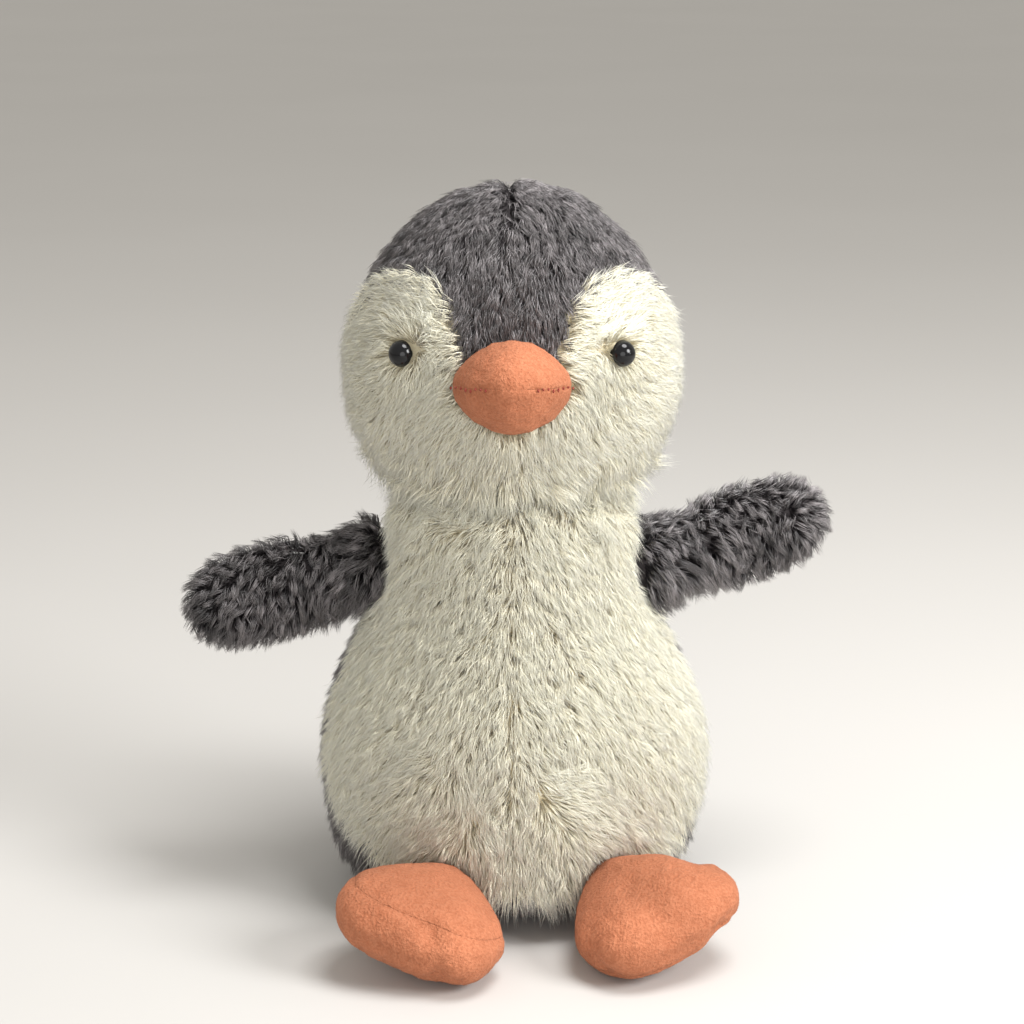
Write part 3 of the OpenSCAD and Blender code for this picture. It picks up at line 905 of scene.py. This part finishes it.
def strand_mesh(name, path, radii, tints, rng):
    """Closed three-sided strands, round their paths."""
    rings, count = len(path) - 1, path.shape[1]
    axis = unit(path[1:] - path[:-1])
    helper = unit(rng.normal(size=(count, 3)))
    points = []
    for ring in range(rings):
        first = unit(np.cross(axis[ring], helper))
        second = np.cross(axis[ring], first)
        for corner in range(3):
            angle = 2 * math.pi * corner / 3
            out = first * math.cos(angle) + second * math.sin(angle)
            points.append(path[ring] + out * radii[ring][:, None])
    points.append(path[-1])
    each = len(points)
    points = np.array(points).transpose(1, 0, 2).reshape(-1, 3)
    faces = [(0, 2, 1)]
    for ring in range(rings - 1):
        for corner in range(3):
            a, b = 3 * ring + corner, 3 * ring + (corner + 1) % 3
            faces += [(a, b, b + 3), (a, b + 3, a + 3)]
    last = 3 * (rings - 1)
    faces += [(last + corner, last + (corner + 1) % 3, each - 1) for corner in range(3)]
    faces = np.array(faces)
    corners = (faces[None] + (np.arange(count) * each)[:, None, None]).reshape(-1)
    mesh = bpy.data.meshes.new(name)
    mesh.vertices.add(len(points))
    mesh.vertices.foreach_set("co", points.ravel())
    mesh.loops.add(len(corners))
    mesh.loops.foreach_set("vertex_index", corners.astype(np.int32))
    mesh.polygons.add(len(corners) // 3)
    mesh.polygons.foreach_set("loop_start", np.arange(0, len(corners), 3, dtype=np.int32))
    heights = np.append(np.repeat(np.arange(rings) / rings, 3), 1.0)[faces].reshape(-1)
    offsets = np.tile([0.0, MAP_SPREAD, MAP_SPREAD / 2], len(faces))
    across = np.clip(tints, 0, 0.99)[:, None] + offsets[None]
    uv = np.stack([across, np.broadcast_to(heights * 0.98 + 0.01, across.shape)], axis=-1)
    uv[:, 2::3, 1] += MAP_SPREAD / 2
    mesh.uv_layers.new(name=STRAND_MAP).data.foreach_set("uv", uv.astype(np.float32).ravel())
    mesh.update()
    mesh.shade_smooth()
    return mesh


def grow(name, panel, pile, density, comb, look, seed, keep=None, trim=None):
    """Grows a piece of fur on a panel's cover.

    comb gives each root's way, keep whether it may be there and trim its share of the length."""
    cover = bpy.data.objects[f"{panel}_cover"]
    rng = np.random.default_rng(seed)
    roots, normals = scattered(cover.data, density, rng)
    if keep:
        kept = keep(roots, normals)
        roots, normals = roots[kept], normals[kept]
    ways = unit(comb(roots, normals)) + ripple(roots, 22 * MM, seed) * 0.25
    ways = along_surface(ways, normals)
    lengths = pile.length * rng.uniform(0.75, 1.15, len(roots))
    if trim:
        lengths = lengths * trim(roots, normals)
    path, owner = strand_paths(roots, normals, ways, lengths, pile, rng)
    path[:, :, 2] = np.maximum(path[:, :, 2], FUR_CLEARANCE)
    taper = np.linspace(1, TIP_SHARE, len(path) - 1)
    widths = pile.width / 2 * rng.uniform(0.8, 1.2, (len(taper), len(roots))) * taper[:, None]
    tints = rng.normal(pile.tint, 0.18, len(roots)) + rng.normal(0, pile.streaks, len(roots))[owner]
    parts = math.ceil(len(roots) * (6 * len(taper) - 2) / MOST_FACES)
    for number, part in enumerate(np.array_split(np.argsort(roots[:, 2]), parts)):
        label = name if parts == 1 else f"{name}_{number + 1}"
        mesh = strand_mesh(label, path[:, part], widths[:, part], tints[part], rng)
        mesh.materials.append(look)
        obj = added(label, mesh)
        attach(obj, cover["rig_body"])
        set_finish(obj, cover["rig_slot"])


def fur_look(fur, colour):
    # The third and fourth numbers are the dull and glint shares: the glint is a painted highlight
    # on the paler tips, slight on the cream and threefold on the grey
    if colour == "cream":
        return material("cream fur", fur_material, fur.cream_root, fur.cream, 0.90, 1.04, 0.4, 0.5)
    return material("grey fur", fur_material, fur.grey_root, fur.grey, 0.38, 3.0, 0.0, 1.0)


def spread_from(points, centre, radius):
    """Ways that lead away from a centre, fading out at a radius and in the very middle."""
    away = points - centre
    distance = np.linalg.norm(away, axis=1, keepdims=True)
    return away / np.hypot(distance, 6 * MM) * np.exp(-((distance / radius) ** 2))


def comb_body(points, normals):
    """Down, and a little away from the middle seam."""
    out = np.zeros_like(points)
    out[:, 0] = np.sign(points[:, 0]) * 0.35
    return DOWN + out


def comb_tummy(points, normals):
    """Down and outwards, with whorls low on the belly and loose waves under the chin."""
    ways = comb_body(points, normals)
    for x, z, radius in TUMMY_WHORLS:
        centre = np.array([x, WHORL_Y, z]) * MM
        ways = ways + 1.5 * spread_from(points, centre, radius * MM)
    near = smooth_step((points[:, 2] - HEAD_PIVOT[2] - 2 * MM) / (14 * MM))
    return ways + ripple(points, 12 * MM, 8) * 0.8 * near[:, None]


def comb_cheek(points, normals):
    """Away from the beak and round the eye, then down the cheek."""
    eye = EYES["left" if points[:, 0].mean() < 0 else "right"]
    ways = DOWN * 0.45 + unit(points - BEAK_MIDDLE) * 0.8
    return ways + 2.0 * spread_from(points, eye, 11 * MM)


def comb_cap(points, normals):
    """Out and down from the crown."""
    crown = np.array([0, 5 * MM, CROWN_Z - 8 * MM])
    fold = np.exp(-((points[:, 0] / (5 * MM)) ** 2))
    fold = fold * smooth_step((points[:, 2] - CROWN_Z + 22 * MM) / (14 * MM))
    parted = np.zeros_like(points)
    parted[:, 0] = np.sign(points[:, 0] + 1 * MM) * fold * 0.9
    return unit(points - crown) + DOWN * 0.5 + parted


def comb_wing(side):
    """Along the wing to its tip, and down."""
    way = WING_WAYS[side]
    tip = WING_PIVOTS[side] + way * 50 * MM

    def comb(points, normals):
        return way * 0.6 + DOWN * 0.8 + 1.6 * spread_from(points, tip, 14 * MM)

    return comb


# ---- Operators, one for each group of pieces ----

class PENGUIN_OT_body(bpy.types.Operator):
    """Stuff the body's cover and cut it into its five panels"""

    bl_idname = "penguin.body"
    bl_label = "Body cover"

    def execute(self, context):
        settings = context.scene.penguin
        covers = settings.covers
        names = (*BODY_PANELS, "base_panel")
        cover = moulded("body_cover", (*names, "body_stuffing", "bean_pouch", "beans"), FUR_VOXEL)
        panels = Panels(BODY_PANELS)
        stuff(cover, panels.seams, FUR_VOXEL, covers.depth, covers.swell, covers.pressure)
        places = face_places(cover.data, 2 * MM)
        regions = panels.regions(cover)
        low = places[:, 2] < CAD_BOX[0].z + BASE_RIM
        flat = np.array([face.normal.z < -0.6 for face in cover.data.polygons])
        regions[flat & low] = len(BODY_PANELS)
        filling("body_filling", cover, "torso", "body_stuffing")
        fur_covers(cover, regions, names, "torso", settings)
        return {"FINISHED"}


class PENGUIN_OT_head(bpy.types.Operator):
    """Stuff the head's cover and cut it into two cheeks and two cap panels"""

    bl_idname = "penguin.head"
    bl_label = "Head cover"

    def execute(self, context):
        settings = context.scene.penguin
        covers = settings.covers
        cover = moulded("head_cover", (*HEAD_PANELS, "head_stuffing"), FUR_VOXEL)
        panels = Panels(HEAD_PANELS)
        stuff(cover, panels.seams, FUR_VOXEL, covers.depth, covers.swell, covers.pressure)
        press(cover, *CROWN_FOLD)
        fur_covers(cover, panels.regions(cover), HEAD_PANELS, "head", settings)
        return {"FINISHED"}


class PENGUIN_OT_wings(bpy.types.Operator):
    """Stuff each wing's cover and cut it into a front and a back"""

    bl_idname = "penguin.wings"
    bl_label = "Wing covers"

    def execute(self, context):
        settings = context.scene.penguin
        covers = settings.covers
        for side in SIDES:
            names = (f"wing_{side}_front", f"wing_{side}_back")
            cover = moulded(f"wing_{side}_cover", (*names, f"wing_{side}_stuffing"), WING_VOXEL)
            panels = Panels(names)
            stuff(cover, panels.seams, WING_VOXEL, covers.depth, covers.swell, covers.pressure)
            regions = panels.regions(cover)
            fur_covers(cover, regions, names, f"wing_{side}", settings)
        return {"FINISHED"}


class PENGUIN_OT_feet(bpy.types.Operator):
    """Stuff each suede foot, with its seam round the edge"""

    bl_idname = "penguin.feet"
    bl_label = "Feet"

    def execute(self, context):
        covers = context.scene.penguin.covers
        for side in SIDES:
            names = (f"foot_{side}_upper", f"foot_{side}_sole")
            cover = moulded(f"foot_{side}_cover", (*names, f"foot_{side}_stuffing"), FOOT_VOXEL)
            axis = JOINTS[f"foot_{side}_swing"]["axis"]
            seam = FlatSeam(cover, names, ANKLES[side], axis, FOOT_PITCH[side])
            stuff(cover, seam.seams, FOOT_VOXEL, *FOOT_STUFFING, covers.pressure)
            tighten(cover, seam.seams, *FOOT_SEAM)
            for crease in FOOT_CREASES[side]:
                press(cover, *crease)
            rest_on_floor(cover)
            filling(f"foot_{side}_filling", cover, f"foot_{side}", f"foot_{side}_stuffing")
            suede_covers(cover, seam, names, f"foot_{side}", covers)
        return {"FINISHED"}


class PENGUIN_OT_beak(bpy.types.Operator):
    """Stuff the suede beak, with its seam across the middle"""

    bl_idname = "penguin.beak"
    bl_label = "Beak"

    def execute(self, context):
        covers = context.scene.penguin.covers
        names = ("beak_upper", "beak_lower")
        cover = moulded("beak_cover", (*names, "beak_stuffing"), BEAK_VOXEL)
        seam = FlatSeam(cover, names)
        stuff(cover, seam.seams, BEAK_VOXEL, *BEAK_STUFFING, covers.pressure)
        tighten(cover, seam.seams, *BEAK_SEAM)
        self.sew(cover, seam)
        suede_covers(cover, seam, names, "head", covers)
        return {"FINISHED"}

    @staticmethod
    def sew(cover, seam):
        """Puts stitches across both ends of the seam."""
        points = points_of(cover.data)
        edge = points[(seam.seams(points) < 0.7 * MM) & (points[:, 1] < BEAK_MIDDLE[1] + 6 * MM)]
        edge = edge[np.argsort(edge[:, 0])]
        bm = bmesh.new()
        for number in range(STITCHES):
            for sign in (-1, 1):
                x = sign * (STITCH_START + number * STITCH_STEP)
                near = edge[np.abs(edge[:, 0] - x) < 1.4 * MM]
                if not len(near):
                    continue
                place = near[near[:, 1].argmin()]
                made = bmesh.ops.create_icosphere(bm, subdivisions=1, radius=1.0)["verts"]
                for vert in made:
                    size = Vector((0.36, 0.32, 0.58 + 0.14 * math.sin(5 * number))) * MM
                    vert.co = vert.co * size + Vector((x, place[1] + 0.1 * MM, place[2]))
        mesh = mesh_from("beak_stitches", bm)
        mesh.shade_smooth()
        mesh.materials.append(material("red thread", thread_material, THREAD_RED))
        stitches = added("beak_stitches", mesh)
        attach(stitches, "head")
        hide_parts("beak_thread")
        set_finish(stitches, "red_thread")


class PENGUIN_OT_insides(bpy.types.Operator):
    """Finish the filling, the bean pouch, the eyes, the washers and the threads"""

    bl_idname = "penguin.insides"
    bl_label = "Eyes, filling and threads"

    def execute(self, context):
        finishes = (
            (material("polyester filling", stuffing_material),
             [node for node in NODES if node.endswith("stuffing")]),
            (cotton_material(), ["bean_pouch"]),
            (bean_material(), ["beans"]),
            (eye_material(), ["eye_left", "eye_right"]),
            (washer_material(), ["eye_washer_left", "eye_washer_right"]),
            (thread_material("grey thread", THREAD_GREY), ["closing_thread"]),
        )
        for look, nodes in finishes:
            for node in nodes:
                mesh = NODES[node].data
                mesh.materials.clear()
                mesh.materials.append(look)
                mesh.shade_smooth()
        return {"FINISHED"}


def clear_of_face(points, normals):
    """Leaves the roots under the eyes and the beak bare."""
    kept = np.ones(len(points), bool)
    for eye in EYES.values():
        kept &= np.linalg.norm(points - eye, axis=1) > EYE_R * BARE_SHARE
    half = (BEAK_HIGH - BEAK_LOW) / 2
    away = np.abs(points - BEAK_MIDDLE) / half
    under = (away[:, 0] + away[:, 2] < 0.95) & (points[:, 1] < 0)
    return kept & ~under & outside_neck(points, normals)


def outside_neck(points, normals):
    """Leaves the hollow under the head bare."""
    return np.linalg.norm(points - HEAD_PIVOT, axis=1) > NECK_HOLLOW


def outside_hollows(points, normals):
    """Leaves bare the hollows for the wings and feet, and the shoulders under the head."""
    kept = points[:, 2] < HEAD_PIVOT[2] + 27 * MM
    for places, hollow in ((WING_PIVOTS, WING_HOLLOW), (ANKLES, ANKLE_HOLLOW)):
        for place in places.values():
            kept &= np.linalg.norm(points - place, axis=1) > hollow
    return kept


def shorter_below(points, normals):
    """Shortens the fur under the head and on the base."""
    neck = np.clip((HEAD_PIVOT[2] + 26 * MM - points[:, 2]) / (8 * MM), 0.6, 1)
    base = np.where(normals[:, 2] < -0.5, 0.5, 1)
    return neck * base


def fringed(points, normals):
    """Lets the fur along the tummy's lower edge hang down longer."""
    neck = 1 + 0.35 * ripple(points, 11 * MM, 6)[:, 0] * smooth_step(
        (points[:, 2] - HEAD_PIVOT[2]) / (15 * MM))
    return np.maximum(neck, 0.6) * (1 + 0.4 * smooth_step((34 * MM - points[:, 2]) / (16 * MM)))


def longer_chin(points, normals):
    """Lets the fur under the chin reach over the neck."""
    near = smooth_step((HEAD_PIVOT[2] + 38 * MM - points[:, 2]) / (16 * MM))
    return np.maximum(1 + near * (0.65 + 0.6 * ripple(points, 12 * MM, 5)[:, 0]), 0.7)


class PENGUIN_OT_cream_fur(bpy.types.Operator):
    """Grow the cream fur on the tummy and the cheeks"""

    bl_idname = "penguin.cream_fur"
    bl_label = "Cream fur"

    def execute(self, context):
        fur = context.scene.penguin.fur
        look = fur_look(fur, "cream")
        tummy = Pile(fur.cream_length, fur.strand, rise=56, lie=26, lock=8, gather=0.30,
                     unruly=0.30, tilt=0.12)
        cheek = Pile(fur.cream_length * 0.9, fur.strand, rise=50, lie=20, lock=7, gather=0.32,
                     unruly=0.28, tilt=0.12)
        for number, side in enumerate(SIDES):
            grow(f"fur_tummy_{side}", f"tummy_{side}", tummy, fur.density, comb_tummy, look,
                 SEEDS["tummy"] + number, outside_hollows, fringed)
            grow(f"fur_cheek_{side}", f"cheek_{side}", cheek, fur.density * 1.1, comb_cheek, look,
                 SEEDS["cheek"] + number, clear_of_face, longer_chin)
        return {"FINISHED"}


class PENGUIN_OT_grey_fur(bpy.types.Operator):
    """Grow the grey fur on the back, the base, the cap and the wings"""

    bl_idname = "penguin.grey_fur"
    bl_label = "Grey fur"

    def execute(self, context):
        fur = context.scene.penguin.fur
        look = fur_look(fur, "grey")
        density = fur.density
        back = Pile(fur.grey_length, fur.strand, lock=12, lie=20)
        cap = Pile(fur.cap_length, fur.strand * 1.1, rise=30, lie=8, lock=8, gather=0.50,
                   unruly=0.26, tilt=0.16, tint=0.46, streaks=0.24)
        wing = Pile(fur.grey_length, fur.strand, rise=68, lie=30, lock=14, gather=0.65, tint=0.36,
                    streaks=0.26)
        base = Pile(fur.grey_length * 0.5, fur.strand, rise=30, lie=5, sag=0)
        for number, side in enumerate(SIDES):
            grow(f"fur_back_{side}", f"back_{side}", back, density * 0.75, comb_body, look,
                 SEEDS["back"] + number, outside_hollows, shorter_below)
            grow(f"fur_cap_{side}", f"cap_{side}", cap, density, comb_cap, look,
                 SEEDS["cap"] + number, clear_of_face)
            for order, face in enumerate(("front", "back")):
                name = f"wing_{side}_{face}"
                grow(f"fur_{name}", name, wing, density, comb_wing(side), look,
                     SEEDS["wing"] + 2 * number + order, *wing_shape(side))
        grow("fur_base", "base_panel", base, density * 0.4, comb_base, look, SEEDS["base"])
        return {"FINISHED"}


def wing_shape(side):
    """Keeps the fur beyond the wing's root, and makes it longer near there."""
    way, root = WING_WAYS[side], WING_PIVOTS[side]

    def beyond_root(points, normals):
        return (points - root) @ way > -3 * MM

    def fuller_root(points, normals):
        near = smooth_step((30 * MM - (points - root) @ way) / (20 * MM))
        return 1 + near * np.where(normals[:, 2] < 0.3, 0.55, 0.2)

    return beyond_root, fuller_root


def comb_base(points, normals):
    """Outwards from the middle of the base."""
    return points * (1, 1, 0) + (0, 1e-4, 0)


class PENGUIN_OT_nap(bpy.types.Operator):
    """Grow the short nap on the suede of the feet and the beak"""

    bl_idname = "penguin.nap"
    bl_label = "Suede nap"

    def execute(self, context):
        covers = context.scene.penguin.covers
        look = material("suede nap", nap_material, covers)
        nap = Pile(covers.nap, 0.17 * MM, rise=38, lie=38, lock=12, gather=0.2, stray=0.3, bends=0,
                   unruly=1.2, sag=0)
        names = [f"foot_{side}_{part}" for side in SIDES for part in ("upper", "sole")]
        for number, name in enumerate([*names, "beak_upper", "beak_lower"]):
            grow(f"nap_{name}", name, nap, 4.0, comb_nap, look, SEEDS["nap"] + number)
        return {"FINISHED"}


def comb_nap(points, normals):
    return np.broadcast_to(np.array([0.5, -0.3, -0.6]), points.shape)


class PENGUIN_OT_stage(bpy.types.Operator):
    """Set up the floor, the soft light and the camera"""

    bl_idname = "penguin.stage"
    bl_label = "Stage"

    def execute(self, context):
        stage = context.scene.penguin.stage
        scene = context.scene
        mesh = bpy.data.meshes.new("floor")
        corners = np.array([(-1, -1, 0), (1, -1, 0), (1, 1, 0), (-1, 1, 0)]) * FLOOR_HALF
        mesh.from_pydata(corners.tolist(), [], [(0, 1, 2, 3)])
        floor = added("floor", mesh)
        mesh.materials.append(floor_material())
        floor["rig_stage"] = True
        scene.view_settings.view_transform = "Standard"
        for name, place, size, share in LIGHTS:
            self.add_light(name, place, size, stage.key * share, stage.aim)
        world = bpy.data.worlds.new("room")
        world.use_nodes = True
        background = world.node_tree.nodes["Background"].inputs
        background["Color"].default_value = ROOM_COLOUR
        background["Strength"].default_value = stage.fill
        scene.world = world
        lens = bpy.data.cameras.new("camera")
        lens.lens = stage.lens
        lens.sensor_width = 36.0
        camera = bpy.data.objects.new("camera", lens)
        scene.collection.objects.link(camera)
        aim = Vector((0, 0, stage.aim))
        away = Vector((0, -math.cos(stage.elevation), math.sin(stage.elevation)))
        camera.location = aim + away * stage.distance
        camera.rotation_euler = (-away).to_track_quat("-Z", "Y").to_euler()
        scene.camera = camera
        return {"FINISHED"}

    @staticmethod
    def add_light(name, place, size, power, height):
        light = bpy.data.lights.new(name, "AREA")
        light.shape = "DISK"
        light.size = size
        light.energy = power
        lamp = bpy.data.objects.new(name, light)
        bpy.context.scene.collection.objects.link(lamp)
        lamp.location = place
        aim = Vector((0, 0, height)) - lamp.location
        lamp.rotation_euler = aim.to_track_quat("-Z", "Y").to_euler()


class PENGUIN_PT_sidebar(bpy.types.Panel):
    """The penguin's pieces, in the order in which they are made"""

    bl_idname = "PENGUIN_PT_sidebar"
    bl_label = "Plush Penguin"
    bl_space_type = "VIEW_3D"
    bl_region_type = "UI"
    bl_category = "Penguin"

    def draw(self, context):
        for operator in OPERATORS:
            self.layout.operator(operator.bl_idname)


OPERATORS = (
    PENGUIN_OT_stage,
    PENGUIN_OT_body,
    PENGUIN_OT_head,
    PENGUIN_OT_wings,
    PENGUIN_OT_feet,
    PENGUIN_OT_beak,
    PENGUIN_OT_insides,
    PENGUIN_OT_cream_fur,
    PENGUIN_OT_grey_fur,
    PENGUIN_OT_nap,
)
CLASSES = (PenguinCovers, PenguinFur, PenguinStage, PenguinSettings, *OPERATORS, PENGUIN_PT_sidebar)


def register():
    for cls in CLASSES:
        bpy.utils.register_class(cls)
    bpy.types.Scene.penguin = PointerProperty(type=PenguinSettings)


def unregister():
    del bpy.types.Scene.penguin
    for cls in reversed(CLASSES):
        bpy.utils.unregister_class(cls)


def main():
    register()
    for operator in OPERATORS:
        group, name = operator.bl_idname.split(".")
        getattr(getattr(bpy.ops, group), name)()
    boxes = {"cad": CAD_BOX, "visual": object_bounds()}
    {name: [list(corner) for corner in box] for name, box in boxes.items()}


if __name__ == "__main__":
    main()
